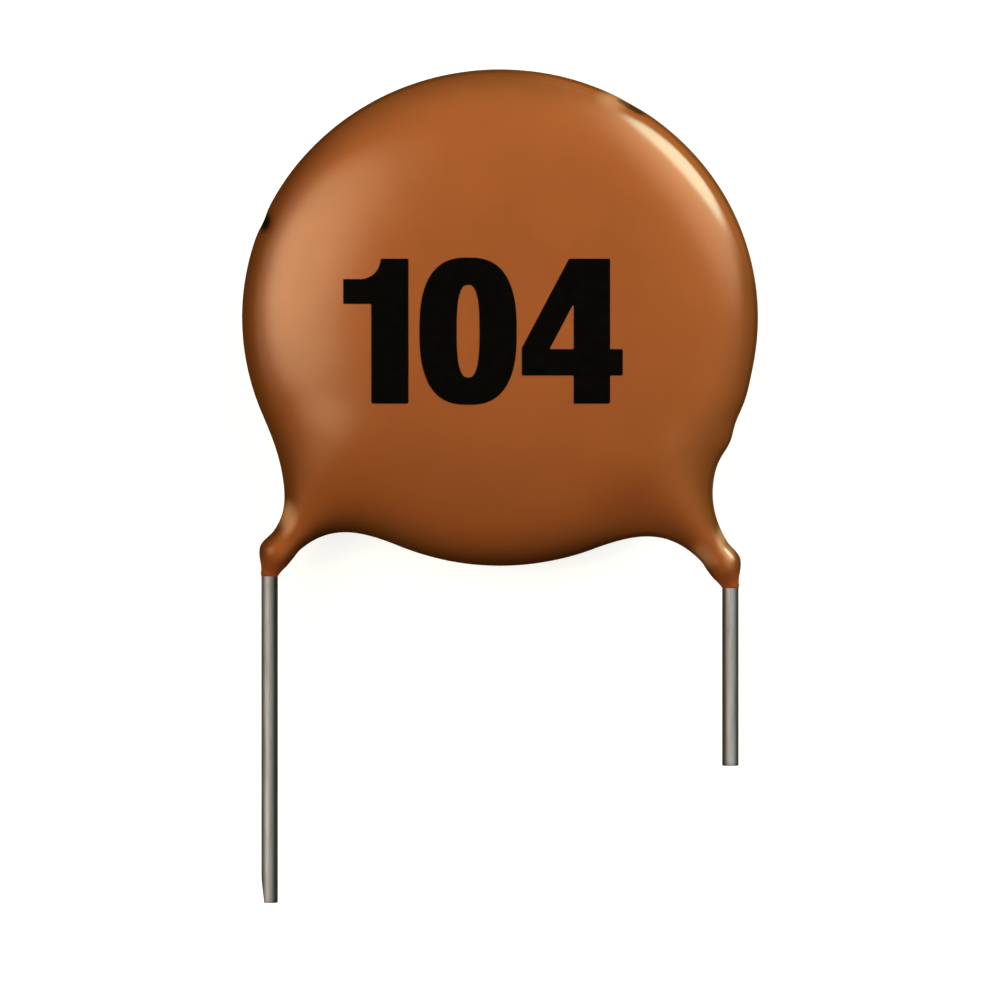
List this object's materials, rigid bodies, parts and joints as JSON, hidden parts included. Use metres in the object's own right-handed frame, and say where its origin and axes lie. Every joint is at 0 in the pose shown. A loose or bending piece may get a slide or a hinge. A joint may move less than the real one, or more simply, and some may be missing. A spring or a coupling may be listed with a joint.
{
  "type": "ceramic disc capacitor",
  "caption": "Dip-coated ceramic disc capacitor with radial wire leads, holding a silvered ceramic disc with a soldered wire on each face.",
  "frame": {"origin": "on the flat of the back face, under the centre of the ceramic disc", "axes": "+X to the right seen from the front, +Y from the leads towards the top of the disc, +Z out of the front face"},
  "size_m": [0.014, 0.0226, 0.003],
  "materials": {
    "resin": "glossy dipped resin",
    "ceramic": "matt fired ceramic",
    "silver": "satin fired silver",
    "tinned_wire": "satin tinned wire",
    "solder": "satin solder"
  },
  "bodies": {
    "root": {"coating": "resin", "ceramic_disc": "ceramic", "front_electrode": "silver", "rear_electrode": "silver", "front_lead": "tinned_wire", "rear_lead": "tinned_wire", "front_solder": "solder", "rear_solder": "solder"}
  },
  "joints": []
}
